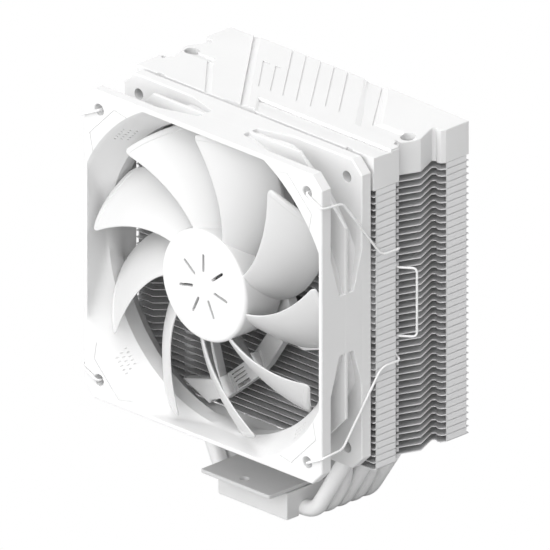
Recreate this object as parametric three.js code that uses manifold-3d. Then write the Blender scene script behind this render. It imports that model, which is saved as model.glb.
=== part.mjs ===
// White tower cooler for a CPU: a 120 mm fan held by two wire clips on a stack of aluminium fins,
// with five heat pipes, a contact block with its mounting bar, and a moulded top cover.
//
// Millimetres. The origin is the middle of the face that rests on the CPU. X runs across the fan,
// Y from the fan to the back of the fins, Z up. The fan's own parts are drawn from the middle of
// its front face, which is also where the wire clips are drawn from.
import * as THREE from 'three';
import { mergeVertices } from 'three/addons/utils/BufferGeometryUtils.js';
import Module from 'manifold-3d';

const wasm = await Module();
wasm.setup();

// Driving dimensions.
const GAP = 0.3;
const FAN_HALF = 60;
const FAN_DEPTH = 25;
const FAN_FRONT_Y = -47;
const FAN_AXIS_Z = 93.3;
const FAN_CHAMFER = 5;
const HOLE_OFFSET = 52.5;
const HOLE_RADIUS = 2.2;
const FLANGE_DEPTH = 4.8;
const DUCT_RADIUS = 58.3;
const DUCT_WALL = 1.2;
const DUCT_SIDES = 48;
const INLET_RADIUS = 66;
const INLET_HALF = 58.4;
const INLET_DEPTH = 10.8;
const OUTLET_RADIUS = 64.8;
const OUTLET_START = 17;
const HUB_RADIUS = 21.3;
const HUB_SIDES = 36;
const HUB_DEPTH = 18.5;
const BLADE_COUNT = 9;
const BLADE_TIP_RADIUS = 57.3;
const MOTOR_SIDES = 24;
const ARM_FRONT = 20.6;
const ARM_BACK = 24.6;
const BORE_SIDES = 12;
const FIN_HALF = 60;
const FIN_FRONT_Y = -20.8;
const FIN_REAR_Y = 27.3;
const FIN_TOP_Z = 140.6;
const FIN_PITCH = 2.58;
const FIN_COUNT = 42;
const FINS_PER_SOLID = 2;
const FIN_THICKNESS = 0.8;
const COVER_TOP_Z = 153.3;
const PIPE_RADIUS = 3;
const PIPE_SIDES = 8;
const PIPE_AXIS_Z = 2.6;
const PIPE_SPACING = 6.5;
const PIPE_TOP_Z = 146;
const BASE_HALF_X = 17.5;
const BASE_HALF_Y = 22;
const BASE_TOP_Z = 10.5;
const BAR_HALF_Y = 30.8;
const BAR_THICKNESS = 1.5;
const WIRE_RADIUS = 0.45;
const WIRE_SIDES = 6;

// Where each heat pipe's two legs stand in the fins: distance from the middle, and place along Y.
const PIPE_LEGS = [
  { x: 40, y: -11 },
  { x: 30, y: -5.3 },
  { x: 40, y: 3.3 },
  { x: 30, y: 8.2 },
  { x: 40, y: 17.6 },
];

// The arms that hold the motor base, each as a centre line seen from the front and a width. The
// first one ends on the foot of the cable guide, and the last one is the cable guide.
const ARM_LINE = [[-15, -6], [-19.5, -30], [-9.8, -59.2]];
const MOTOR_ARMS = [
  [[[-15, -6], [-19.5, -30], [-14, -48]], 5],
  [ARM_LINE.map(([x, z]) => [-x, -z]), 5],
  [ARM_LINE.map(([x, z]) => [-z, x]), 5],
  [ARM_LINE.map(([x, z]) => [z, -x]), 5],
  [[[-12, -50.5], [-3, -43], [4.5, -36.6], [9, -31.5], [16, -21], [20, -8], [17, 1]], 7.5],
];

const material = (color, roughness, metalness) => new THREE.MeshStandardMaterial({ color, roughness, metalness });
const WHITE_PLASTIC = () => material(0xf4f4f2, 0.5, 0);
const WHITE_PAINT = () => material(0xf2f2f0, 0.45, 0);
const WHITE_WIRE = () => material(0xf0f0ee, 0.35, 0.1);
const PALE_RUBBER = () => material(0xe8e8e6, 0.85, 0);
const STEEL = () => material(0xa9abad, 0.35, 1);
const BRASS = () => material(0xb9975a, 0.4, 1);
const MAGNET = () => material(0x3d3d40, 0.7, 0);
const COPPER = () => material(0xb87348, 0.4, 1);
const BOARD = () => material(0x2f6b45, 0.6, 0);

const group = new THREE.Group();
const fan = new THREE.Group();
fan.position.set(0, FAN_FRONT_Y, FAN_AXIS_Z);
group.add(fan);

// A closed geometry as a solid, with its vertices merged and its faces turned outwards.
function solidOf(geometry) {
  geometry.deleteAttribute('normal');
  geometry.deleteAttribute('uv');
  const merged = mergeVertices(geometry, 1e-4);
  const place = merged.attributes.position;
  const index = merged.index.array;
  const triangles = [];
  const corner = [new THREE.Vector3(), new THREE.Vector3(), new THREE.Vector3()];
  let volume = 0;
  for (let i = 0; i < index.length; i += 3) {
    const [a, b, c] = [index[i], index[i + 1], index[i + 2]];
    if (a !== b && b !== c && c !== a) {
      triangles.push([a, b, c]);
      corner[0].fromBufferAttribute(place, a);
      corner[1].fromBufferAttribute(place, b);
      corner[2].fromBufferAttribute(place, c);
      volume += corner[0].dot(corner[1].cross(corner[2]));
    }
  }
  const turned = volume < 0 ? triangles.map(([a, b, c]) => [a, c, b]) : triangles;
  return new wasm.Manifold(new wasm.Mesh({
    numProp: 3,
    vertProperties: Float32Array.from(place.array),
    triVerts: Uint32Array.from(turned.flat()),
  }));
}

function geometryOf(solid) {
  const mesh = solid.getMesh();
  const geometry = new THREE.BufferGeometry();
  geometry.setAttribute('position', new THREE.BufferAttribute(new Float32Array(mesh.vertProperties), 3));
  geometry.setIndex(new THREE.BufferAttribute(new Uint32Array(mesh.triVerts), 1));
  return geometry;
}

function add(parent, name, solid, look) {
  const mesh = new THREE.Mesh(geometryOf(solid), look);
  mesh.name = name;
  parent.add(mesh);
  return mesh;
}

// Outlines.
const points = (pairs) => pairs.map(([x, y]) => new THREE.Vector2(x, y));

function roundOutline(x, y, radius, sides, phase = 0) {
  return Array.from({ length: sides }, (_, i) => {
    const angle = phase + (2 * Math.PI * i) / sides;
    return new THREE.Vector2(x + radius * Math.cos(angle), y + radius * Math.sin(angle));
  });
}

function rectangle(x0, x1, y0, y1) {
  return points([[x0, y0], [x1, y0], [x1, y1], [x0, y1]]);
}

function cutSquare(half, cut) {
  const inner = half - cut;
  return points([
    [-inner, -half], [inner, -half], [half, -inner], [half, inner],
    [inner, half], [-inner, half], [-half, inner], [-half, -inner],
  ]);
}

function mirrored(outline) {
  return outline.map((point) => new THREE.Vector2(-point.x, point.y)).reverse();
}

// The outline of a bar of even width along a centre line.
function strip(centre, width) {
  const last = centre.length - 1;
  const left = [];
  const right = [];
  centre.forEach((point, i) => {
    const into = centre[i].clone().sub(centre[Math.max(i - 1, 0)]).normalize();
    const out = centre[Math.min(i + 1, last)].clone().sub(centre[i]).normalize();
    const along = into.clone().add(out).normalize();
    const across = new THREE.Vector2(-along.y, along.x);
    const straight = i === 0 || i === last;
    const reach = width / 2 / (straight ? 1 : Math.sqrt((1 + into.dot(out)) / 2));
    left.push(point.clone().addScaledVector(across, reach));
    right.unshift(point.clone().addScaledVector(across, -reach));
  });
  return [...right.reverse(), ...left.reverse()];
}

function extruded(outline, depth, holes) {
  const shape = new THREE.Shape(outline);
  shape.holes = holes.map((hole) => new THREE.Path(hole));
  return new THREE.ExtrudeGeometry(shape, { depth, bevelEnabled: false });
}

// A plate seen from above, from one height to another.
function plan(outline, low, high, holes = []) {
  return solidOf(extruded(outline, high - low, holes).translate(0, 0, low));
}

// A plate seen from the front, from one depth to another.
function frontal(outline, front, back, holes = []) {
  return solidOf(extruded(outline, back - front, holes).rotateX(Math.PI / 2).translate(0, back, 0));
}

// A solid turned about the Y axis from [radius, y] pairs.
function turned(pairs, sides) {
  return solidOf(new THREE.LatheGeometry(points(pairs), sides));
}

function tubeRing(inner, outer, front, back, sides) {
  return frontal(roundOutline(0, 0, outer, sides), front, back, [roundOutline(0, 0, inner, sides)]);
}

function spunAboutFanAxis(solid, turns, at = 0) {
  return solid.rotate([0, (360 * at) / turns, 0]);
}

// A path through exact points, so that a tube gets one section at each of them.
class PointPath extends THREE.Curve {
  constructor(stops) {
    super();
    this.stops = stops;
  }

  getPoint(t, target = new THREE.Vector3()) {
    const last = this.stops.length - 1;
    const i = Math.min(Math.floor(t * last + 1e-6), last - 1);
    return target.lerpVectors(this.stops[i], this.stops[i + 1], t * last - i);
  }

  getPointAt(u, target) {
    return this.getPoint(u, target);
  }

  getTangentAt(u, target = new THREE.Vector3()) {
    const half = 0.5 / (this.stops.length - 1);
    const ahead = this.getPoint(Math.min(u + half, 1));
    const behind = this.getPoint(Math.max(u - half, 0));
    return target.subVectors(ahead, behind).normalize();
  }
}

// A chain of straight runs whose corners are rounded off, cut away by the given length at most.
function roundedPath(corners, cut, steps) {
  const stops = [corners[0].clone()];
  for (let i = 1; i < corners.length - 1; i += 1) {
    const before = corners[i - 1].clone().sub(corners[i]);
    const after = corners[i + 1].clone().sub(corners[i]);
    const start = corners[i].clone().add(before.setLength(Math.min(cut, before.length() * 0.45)));
    const end = corners[i].clone().add(after.setLength(Math.min(cut, after.length() * 0.45)));
    const bend = new THREE.QuadraticBezierCurve3(start, corners[i], end);
    stops.push(...bend.getPoints(steps));
  }
  stops.push(corners[corners.length - 1].clone());
  return new PointPath(stops);
}

function tube(path, radius, sides) {
  const sameArea = radius * Math.sqrt((2 * Math.PI) / (sides * Math.sin((2 * Math.PI) / sides)));
  const section = new THREE.Shape(roundOutline(0, 0, sameArea, sides, Math.PI / sides));
  const steps = path.stops.length - 1;
  return solidOf(new THREE.ExtrudeGeometry(section, { steps, extrudePath: path, bevelEnabled: false }));
}

// Fan frame: two flanges and a middle web round the duct, solid at the middle of each side, with
// the motor base held behind the rotor by four arms and a wider cable guide.
function fanFrame() {
  const outline = cutSquare(FAN_HALF, FAN_CHAMFER);
  const webMiddle = FAN_DEPTH / 2;
  const webHalf = 0.65;
  const webCut = 23;
  let frame = frontal(outline, 0, FLANGE_DEPTH);
  frame = frame.add(frontal(outline, FAN_DEPTH - FLANGE_DEPTH, FAN_DEPTH));
  frame = frame.add(frontal(cutSquare(FAN_HALF, webCut), webMiddle - webHalf, webMiddle + webHalf));
  const skin = DUCT_RADIUS + DUCT_WALL;
  const ductOutside = turned([
    [0, 1], [INLET_RADIUS + 0.8, 1], [skin + 0.2, INLET_DEPTH], [skin + 0.2, OUTLET_START],
    [OUTLET_RADIUS + 1, FAN_DEPTH - 1], [0, FAN_DEPTH - 1],
  ], DUCT_SIDES);
  frame = frame.add(ductOutside.intersect(frontal(outline, 0, FAN_DEPTH)));
  const narrow = 11.5;
  const wide = 28;
  const waist = 3.5;
  const bowTie = points([
    [-wide, FLANGE_DEPTH - 0.5], [wide, FLANGE_DEPTH - 0.5], [narrow, webMiddle - waist],
    [narrow, webMiddle + waist], [wide, FAN_DEPTH - FLANGE_DEPTH + 0.5],
    [-wide, FAN_DEPTH - FLANGE_DEPTH + 0.5], [-narrow, webMiddle + waist], [-narrow, webMiddle - waist],
  ]);
  const sideBlock = plan(bowTie, FAN_HALF - 10, FAN_HALF);
  for (let i = 0; i < 4; i += 1) {
    frame = frame.add(spunAboutFanAxis(sideBlock, 4, i));
  }
  const airPath = turned([
    [0, -1], [INLET_RADIUS + 0.71, -1], [DUCT_RADIUS, INLET_DEPTH], [DUCT_RADIUS, OUTLET_START],
    [OUTLET_RADIUS + 0.81, FAN_DEPTH + 1], [0, FAN_DEPTH + 1],
  ], DUCT_SIDES);
  frame = frame.subtract(airPath.intersect(frontal(cutSquare(INLET_HALF, 0.5), -2, FAN_DEPTH + 2)));
  for (const x of [-HOLE_OFFSET, HOLE_OFFSET]) {
    for (const z of [-HOLE_OFFSET, HOLE_OFFSET]) {
      frame = frame.subtract(frontal(roundOutline(x, z, HOLE_RADIUS, BORE_SIDES), -1, FAN_DEPTH + 1));
    }
  }
  for (const [centre, width] of MOTOR_ARMS) {
    frame = frame.add(frontal(strip(points(centre), width), ARM_FRONT, ARM_BACK));
  }
  const guideFoot = points([[-30.5, -51.1], [-17, -56.8], [-15.9, -55.1], [-9.9, -52.7], [-14.6, -46.6]]);
  frame = frame.add(frontal(guideFoot, ARM_FRONT, ARM_BACK));
  const motorBase = turned([
    [0, ARM_BACK], [20.5, ARM_BACK], [20.5, 21.2], [5.6, 21.2],
    [5.6, 4.6], [3.7, 4.6], [3.7, 22.6], [0, 22.6],
  ], MOTOR_SIDES);
  return frame.add(motorBase);
}

// One fan blade: a thin curved sheet from the hub to the tip. Its leading edge is the front one,
// and the sheet runs back and clockwise from it, seen from the front.
function blade() {
  const rootRadius = 20.6;
  const leadAtTip = THREE.MathUtils.degToRad(137);
  const leadSweep = THREE.MathUtils.degToRad(31);
  const chordAtRoot = THREE.MathUtils.degToRad(38);
  const chordAtTip = THREE.MathUtils.degToRad(24);
  const frontY = 1.6;
  const rearAtRoot = 18.2;
  const rearAtTip = 16;
  const spanSteps = 5;
  const chordSteps = 5;
  const half = 0.7;
  const vertices = [];
  const index = [];
  for (let side = 0; side < 2; side += 1) {
    for (let i = 0; i <= spanSteps; i += 1) {
      const out = i / spanSteps;
      const radius = THREE.MathUtils.lerp(rootRadius, BLADE_TIP_RADIUS, out);
      for (let j = 0; j <= chordSteps; j += 1) {
        const along = j / chordSteps;
        const lead = leadAtTip - leadSweep * (1 - out);
        const angle = lead - THREE.MathUtils.lerp(chordAtRoot, chordAtTip, out) * along;
        const bow = Math.sin(Math.PI * along);
        const rearY = THREE.MathUtils.lerp(rearAtRoot, rearAtTip, out);
        const depth = THREE.MathUtils.lerp(frontY, rearY, along) - 1.6 * bow;
        const skin = half * (0.55 + 0.45 * bow);
        const y = depth + (side === 0 ? -skin : skin);
        vertices.push(radius * Math.cos(angle), y, radius * Math.sin(angle));
      }
    }
  }
  const across = chordSteps + 1;
  const sheet = (spanSteps + 1) * across;
  const at = (side, i, j) => side * sheet + i * across + j;
  const quad = (a, b, c, d) => index.push(a, b, c, a, c, d);
  for (let i = 0; i < spanSteps; i += 1) {
    for (let j = 0; j < chordSteps; j += 1) {
      quad(at(0, i, j), at(0, i + 1, j), at(0, i + 1, j + 1), at(0, i, j + 1));
      quad(at(1, i, j), at(1, i, j + 1), at(1, i + 1, j + 1), at(1, i + 1, j));
    }
    quad(at(0, i, 0), at(1, i, 0), at(1, i + 1, 0), at(0, i + 1, 0));
    quad(at(0, i, chordSteps), at(0, i + 1, chordSteps), at(1, i + 1, chordSteps), at(1, i, chordSteps));
  }
  for (let j = 0; j < chordSteps; j += 1) {
    quad(at(0, 0, j), at(0, 0, j + 1), at(1, 0, j + 1), at(1, 0, j));
    quad(at(0, spanSteps, j), at(1, spanSteps, j), at(1, spanSteps, j + 1), at(0, spanSteps, j + 1));
  }
  const geometry = new THREE.BufferGeometry();
  geometry.setAttribute('position', new THREE.Float32BufferAttribute(vertices, 3));
  geometry.setIndex(index);
  return solidOf(geometry);
}

function impeller() {
  let rotor = turned([
    [0, 0.3], [20, 0.3], [HUB_RADIUS, 1.5], [HUB_RADIUS, HUB_DEPTH], [19.7, HUB_DEPTH], [19.7, 2.2],
    [3.2, 2.2], [3.2, 4.2], [1.8, 4.2], [1.8, 1.9], [0, 1.9],
  ], HUB_SIDES);
  const oneBlade = blade();
  for (let i = 0; i < BLADE_COUNT; i += 1) {
    rotor = rotor.add(spunAboutFanAxis(oneBlade, BLADE_COUNT, i));
  }
  const slots = 7;
  const slot = frontal(rectangle(-0.5, 0.5, 5.5, 12.2), -0.5, 0.8);
  for (let i = 0; i < slots; i += 1) {
    rotor = rotor.subtract(spunAboutFanAxis(slot, slots, i));
  }
  return rotor;
}

function statorCore() {
  const front = 8;
  const back = 13;
  let core = tubeRing(5.9, 8.6, front, back, MOTOR_SIDES);
  const arm = frontal(rectangle(8, 14, -2, 2), front, back);
  const shoeHalfAngle = 0.6;
  const shoe = [];
  for (let i = 0; i <= 4; i += 1) {
    const angle = THREE.MathUtils.lerp(-shoeHalfAngle, shoeHalfAngle, i / 4);
    shoe.push([15.8 * Math.cos(angle), 15.8 * Math.sin(angle)]);
  }
  for (let i = 4; i >= 0; i -= 1) {
    const angle = THREE.MathUtils.lerp(-shoeHalfAngle, shoeHalfAngle, i / 4);
    shoe.push([13.8 * Math.cos(angle), 13.8 * Math.sin(angle)]);
  }
  const pole = arm.add(frontal(points(shoe), front, back));
  for (let i = 0; i < 4; i += 1) {
    core = core.add(spunAboutFanAxis(pole, 4, i));
  }
  return core;
}

// One winding, round the stator arm that points along +X.
function coil() {
  const outer = rectangle(-4.3, 4.3, -4.2, 4.2);
  const inner = rectangle(-2.3, 2.3, -2.8, 2.8);
  const length = 3.8;
  const ring = extruded(outer, length, [inner]);
  ring.rotateX(Math.PI / 2).rotateZ(Math.PI / 2).rotateX(Math.PI / 2).translate(9.2, 10.5, 0);
  return solidOf(ring);
}

add(fan, 'fan_frame', fanFrame(), WHITE_PLASTIC());
add(fan, 'impeller', impeller(), WHITE_PLASTIC());
add(fan, 'rotor_yoke', tubeRing(18.5, 19.4, 2.6, 17.5, MOTOR_SIDES), STEEL());
add(fan, 'magnet_ring', tubeRing(16.4, 18.2, 4, 16.5, MOTOR_SIDES), MAGNET());
add(fan, 'rotor_shaft', frontal(roundOutline(0, 0, 1.5, BORE_SIDES), 2.2, 22.2), STEEL());
add(fan, 'bearing_sleeve', tubeRing(1.8, 3.4, 5, 20, BORE_SIDES), BRASS());
add(fan, 'shaft_retainer', tubeRing(1.8, 3.2, 20.4, 21, BORE_SIDES), STEEL());
add(fan, 'stator_core', statorCore(), STEEL());
add(fan, 'motor_board', tubeRing(6.1, 17.5, 17.6, 18.8, MOTOR_SIDES), BOARD());
const oneCoil = coil();
for (let i = 0; i < 4; i += 1) {
  add(fan, `stator_coil_${i + 1}`, spunAboutFanAxis(oneCoil, 4, i), COPPER());
}

// Four soft pads keep the fan's rear corners off the fins.
const padSides = [['left', -1], ['right', 1]];
for (const [height, z] of [['lower', -1], ['upper', 1]]) {
  for (const [side, x] of padSides) {
    const centre = [x * 51.5, z * 51.5];
    const outline = rectangle(centre[0] - 5.5, centre[0] + 5.5, centre[1] - 5.5, centre[1] + 5.5);
    const hole = roundOutline(x * HOLE_OFFSET, z * HOLE_OFFSET, 2.6, BORE_SIDES);
    const pad = frontal(outline, FAN_DEPTH + GAP, FAN_DEPTH + GAP + 0.6, [hole]);
    add(fan, `corner_pad_${height}_${side}`, pad, PALE_RUBBER());
  }
}

// Wire clip: each end hooks into a front hole of the fan, the wire comes round the fan's side, runs
// to the fins and drops into the groove behind their front tabs, with a finger loop in the middle.
function wireClip(side) {
  const beside = FAN_HALF + WIRE_RADIUS + GAP;
  const before = -WIRE_RADIUS - GAP;
  const half = [
    [HOLE_OFFSET, 3, 52.5], [HOLE_OFFSET, before, 52.5], [beside, before, 48.5], [beside, 9.7, 47.7],
    [beside, 28.5, 23], [beside + 0.2, 31, 21.7], [beside + 0.2, 38.7, 21.7], [57.9, 38.9, 20.5],
    [57.9, 38.9, 13.3], [64.2, 43.8, 13.3],
  ];
  const lower = half.map(([x, y, z]) => [x, y, -z]).reverse();
  const corners = [...half, ...lower].map(([x, y, z]) => new THREE.Vector3(side * x, y, z));
  return tube(roundedPath(corners, 1.6, 2), WIRE_RADIUS, WIRE_SIDES);
}

add(fan, 'wire_clip_left', wireClip(-1), WHITE_WIRE());
add(fan, 'wire_clip_right', wireClip(1), WHITE_WIRE());

// The plan outline of the fins and the cover: each side has a groove behind the front tab, a low
// ridge and a groove before the rear tab. The front is recessed between two corner pads on the fins
// and straight on the cover.
function towerOutline(front) {
  const ridgeY = 3.6;
  const right = points([
    ...front, [FIN_HALF, FIN_FRONT_Y],
    [FIN_HALF, ridgeY - 13.1], [56.8, ridgeY - 12.8], [55.2, ridgeY - 9.7],
    [59.3, ridgeY], [55.2, ridgeY + 9.7], [FIN_HALF, ridgeY + 13.1], [FIN_HALF, FIN_REAR_Y],
  ]);
  return [...right, ...mirrored(right)];
}

const finOutline = towerOutline([[47.7, FIN_FRONT_Y + 3.8], [51.5, FIN_FRONT_Y]]);
const legHoles = PIPE_LEGS.flatMap(({ x, y }) => [-x, x].map(
  (legX) => roundOutline(legX, y, (PIPE_RADIUS + GAP + 0.1) / Math.cos(Math.PI / 6), 6),
));

// Each solid stands for two neighbouring fins and has the thickness of both.
for (let i = 0; i < FIN_COUNT / FINS_PER_SOLID; i += 1) {
  const middle = FIN_TOP_Z - i * FINS_PER_SOLID * FIN_PITCH;
  const fin = plan(finOutline, middle - FIN_THICKNESS / 2, middle + FIN_THICKNESS / 2, legHoles);
  add(group, `fin_${String(i + 1).padStart(2, '0')}`, fin, WHITE_PAINT());
}

// Moulded cover over the pipe ends: open below, with raised panels and slanted grooves on top.
function topCover() {
  const bottom = FIN_TOP_Z + FIN_THICKNESS / 2 + GAP;
  const raised = 0.6;
  let cover = plan(towerOutline([]), bottom, COVER_TOP_Z);
  const panel = points([
    [-43, 26.9], [-9, -12.5], [58, -12.5], [58, -9.3], [54, -5.4], [34, -5], [6.5, 26.9],
  ]);
  const plateau = points([[20, 26.2], [40.5, 2.5], [50, 2.5], [52.5, 13.5], [58.5, 18], [58.5, 26.2]]);
  cover = cover.add(plan(panel, COVER_TOP_Z - 1, COVER_TOP_Z + raised));
  cover = cover.add(plan(plateau, COVER_TOP_Z - 1, COVER_TOP_Z + raised));
  const grooveHalf = 0.4;
  for (let i = 0; i < 5; i += 1) {
    const foot = -2.2 + 7 * i;
    const groove = points([
      [foot - grooveHalf, -4.3], [foot + grooveHalf, -4.3],
      [foot - 27 + grooveHalf, 28.5], [foot - 27 - grooveHalf, 28.5],
    ]);
    cover = cover.subtract(plan(groove, COVER_TOP_Z + 0.1, COVER_TOP_Z + raised + 1));
  }
  const inside = points([[-50, -14.5], [50, -14.5], [50, 24.5], [-50, 24.5]]);
  cover = cover.subtract(plan(inside, bottom - 1, COVER_TOP_Z - 2));
  for (const x of [-54.5, 54.5]) {
    cover = cover.subtract(plan(roundOutline(x, 2, 2.8, BORE_SIDES), bottom + 2, COVER_TOP_Z + 2));
  }
  return cover;
}

add(group, 'top_cover', topCover(), WHITE_PLASTIC());

// Heat pipes: each lies flat through the block, bends up at both sides and stands through the fins.
function heatPipe(position) {
  const leg = PIPE_LEGS[position];
  const baseY = (position - 2) * PIPE_SPACING;
  const kneeX = 23;
  const rise = (leg.x - kneeX) * Math.tan(THREE.MathUtils.degToRad(60));
  const corners = [
    [-leg.x, leg.y, PIPE_TOP_Z], [-leg.x, leg.y, PIPE_AXIS_Z + rise], [-kneeX, baseY, PIPE_AXIS_Z],
    [kneeX, baseY, PIPE_AXIS_Z], [leg.x, leg.y, PIPE_AXIS_Z + rise], [leg.x, leg.y, PIPE_TOP_Z],
  ].map(([x, y, z]) => new THREE.Vector3(x, y, z));
  const belowFace = plan(rectangle(-60, 60, -60, 60), -5, 0);
  return tube(roundedPath(corners, 4.5, 4), PIPE_RADIUS, PIPE_SIDES).subtract(belowFace);
}

for (let i = 0; i < PIPE_LEGS.length; i += 1) {
  add(group, `heat_pipe_${i + 1}`, heatPipe(i), WHITE_PAINT());
}

// Contact block with one slot for the five pipes, which reach its lower face.
const slotHalf = 2 * PIPE_SPACING + PIPE_RADIUS + GAP;
const pipeSlot = plan(rectangle(-40, 40, -slotHalf, slotHalf), -1, PIPE_AXIS_Z + PIPE_RADIUS + GAP);
const screwPlaces = [-11, 11];
const screwRadius = 1.25;
const barLow = BASE_TOP_Z + GAP;
const barHigh = barLow + BAR_THICKNESS;
let block = plan(cutRectangle(BASE_HALF_X, BASE_HALF_Y, 1), 0, BASE_TOP_Z).subtract(pipeSlot);
for (const x of screwPlaces) {
  block = block.subtract(plan(roundOutline(x, 0, screwRadius + GAP, BORE_SIDES), 7, BASE_TOP_Z + 1));
}
add(group, 'base_block', block, WHITE_PAINT());

function cutRectangle(halfX, halfY, cut) {
  const right = points([
    [halfX - cut, -halfY], [halfX, -halfY + cut], [halfX, halfY - cut], [halfX - cut, halfY],
  ]);
  return [...right, ...mirrored(right)];
}

// Mounting bar across the block, with a tapped hole at each end and two countersunk screws.
const headRadius = 2.4;
const headDepth = 1.2;
const barHoles = [-26, 26].map((y) => roundOutline(0, y, 1.6, BORE_SIDES));
let bar = plan(cutRectangle(17.35, BAR_HALF_Y, 1.5), barLow, barHigh, barHoles);

// A countersunk screw standing in the bar, made larger all round by the given clearance.
function countersunk(x, clearance, top, low) {
  const neck = screwRadius + clearance;
  const head = headRadius + clearance;
  const profile = [[0, low], [neck, low], [neck, top - headDepth], [head, top], [0, top]];
  return turned(profile, BORE_SIDES).rotate([90, 0, 0]).translate([x, 0, 0]);
}

screwPlaces.forEach((x, i) => {
  bar = bar.subtract(countersunk(x, GAP, barHigh + 0.01, barLow - 1));
  add(group, `bar_screw_${i + 1}`, countersunk(x, 0, barHigh - 0.1, 7.5), STEEL());
});
add(group, 'mounting_bar', bar, WHITE_PAINT());

export default group;
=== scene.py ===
import math

import bmesh
import bpy
from mathutils import Matrix, Vector


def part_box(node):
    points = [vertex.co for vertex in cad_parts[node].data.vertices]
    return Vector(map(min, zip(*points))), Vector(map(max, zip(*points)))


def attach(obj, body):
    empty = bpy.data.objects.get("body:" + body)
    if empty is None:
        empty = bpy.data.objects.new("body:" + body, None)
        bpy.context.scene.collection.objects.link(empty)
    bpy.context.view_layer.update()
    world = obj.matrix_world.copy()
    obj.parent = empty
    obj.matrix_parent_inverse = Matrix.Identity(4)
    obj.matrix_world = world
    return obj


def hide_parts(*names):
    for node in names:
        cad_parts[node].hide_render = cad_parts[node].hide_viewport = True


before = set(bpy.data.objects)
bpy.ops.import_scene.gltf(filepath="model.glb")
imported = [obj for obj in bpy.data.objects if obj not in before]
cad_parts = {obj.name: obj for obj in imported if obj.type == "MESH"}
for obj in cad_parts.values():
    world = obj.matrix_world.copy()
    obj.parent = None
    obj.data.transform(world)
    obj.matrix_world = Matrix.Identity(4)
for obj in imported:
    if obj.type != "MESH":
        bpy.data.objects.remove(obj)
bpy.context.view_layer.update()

MM = 0.001


def middle(node):
    low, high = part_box(node)
    return (Vector(low) + Vector(high)) / 2 / MM


def low_corner(node):
    return Vector(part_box(node)[0]) / MM


def high_corner(node):
    return Vector(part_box(node)[1]) / MM


ORIGIN = Vector((middle("fan_frame").x, low_corner("fan_frame").y, middle("fan_frame").z))
PLACE = Matrix.Translation(ORIGIN * MM) @ Matrix.Scale(MM, 4)
# Stands a shape that was drawn from above up, to be seen from the front: height h becomes depth -h.
TO_FRONT = Matrix.Rotation(math.pi / 2, 4, "X")

# Sizes taken from the frame.
FAN_HALF = (high_corner("fan_frame").x - low_corner("fan_frame").x) / 2
FAN_DEPTH = high_corner("fan_frame").y - low_corner("fan_frame").y
GROUND = -ORIGIN.z
FIN_HALF = high_corner("fin_01").x
FIN_FRONT = low_corner("fin_01").y - ORIGIN.y
FIN_REAR = high_corner("fin_01").y - ORIGIN.y
FIN_TOP = middle("fin_01").z - ORIGIN.z
FIN_SOLIDS = sum(1 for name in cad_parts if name.startswith("fin_"))
FIN_PITCH = (middle("fin_01").z - middle("fin_02").z) / 2
COVER_LOW = low_corner("top_cover").z - ORIGIN.z
PIPE_TOP = high_corner("heat_pipe_1").z - ORIGIN.z
BLOCK_TOP = high_corner("base_block").z - ORIGIN.z
BAR_LOW = low_corner("mounting_bar").z - ORIGIN.z
BAR_TOP = high_corner("mounting_bar").z - ORIGIN.z
BASE_MIDDLE = -ORIGIN.y

# Sizes of the fan.
FLANGE = 4.8
CHAMFER = 5.0
HOLE_OFFSET = 52.5
HOLE_RADIUS = 2.2
THROAT = 58.3
INLET = 65.9
FLARE_DEPTH = 10.8
OUTLET = 64.8
OUTLET_START = 17.0
FLARE_HALF = 58.4
DUCT_SIDES = 144
ARM_FRONT = 20.6
ARM_BACK = 24.6
HUB = 21.3
HUB_ROUNDING = 1.5
HUB_SLOTS = 7
BLADES = 9
BLADE_ROOT = 20.6
TIP = 57.3
WIRE = 0.45
WIRE_GAP = 0.3

# Sizes of the tower.
SHEET = 0.34
PIPE = 3.0
PIPE_AXIS = 2.6
PIPE_SPACING = 6.5
PIPE_LEGS = [(40, 36), (30, 41.7), (40, 50.3), (30, 55.2), (40, 64.6)]
PIPE_KNEE = 23
PIPE_SLOPE = math.radians(60)
COVER_FOOT = FIN_TOP - SHEET / 2
COVER_TOP = COVER_LOW + 12.0
PANEL_TOP = COVER_TOP + 0.6
GROOVE_FOOT = COVER_TOP - 0.7
CUT_TOP = PANEL_TOP + 2
BAR_HOLES = (-26, 26)
SCREWS = (-11, 11)


# --- meshes ---------------------------------------------------------------------------------------


def cleaned(mesh, weld=0.0):
    """The mesh with points closer than weld joined, and its faces turned outward."""
    form = bmesh.new()
    form.from_mesh(mesh)
    if weld:
        bmesh.ops.remove_doubles(form, verts=form.verts, dist=weld)
    bmesh.ops.recalc_face_normals(form, faces=form.faces)
    form.to_mesh(mesh)
    form.free()
    return mesh


def new_mesh(vertices, faces):
    mesh = bpy.data.meshes.new("shape")
    mesh.from_pydata([tuple(v) for v in vertices], [], faces)
    return cleaned(mesh)


def moved(mesh, matrix):
    copy = mesh.copy()
    copy.transform(matrix)
    if matrix.determinant() < 0:
        copy.flip_normals()
    return copy


def joined(meshes):
    form = bmesh.new()
    for mesh in meshes:
        form.from_mesh(mesh)
    result = bpy.data.meshes.new("shape")
    form.to_mesh(result)
    form.free()
    return result


def new_object(name, data):
    obj = bpy.data.objects.new(name, data)
    bpy.context.scene.collection.objects.link(obj)
    return obj


def evaluated(obj):
    bpy.context.view_layer.update()
    depsgraph = bpy.context.evaluated_depsgraph_get()
    return bpy.data.meshes.new_from_object(obj.evaluated_get(depsgraph))


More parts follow.
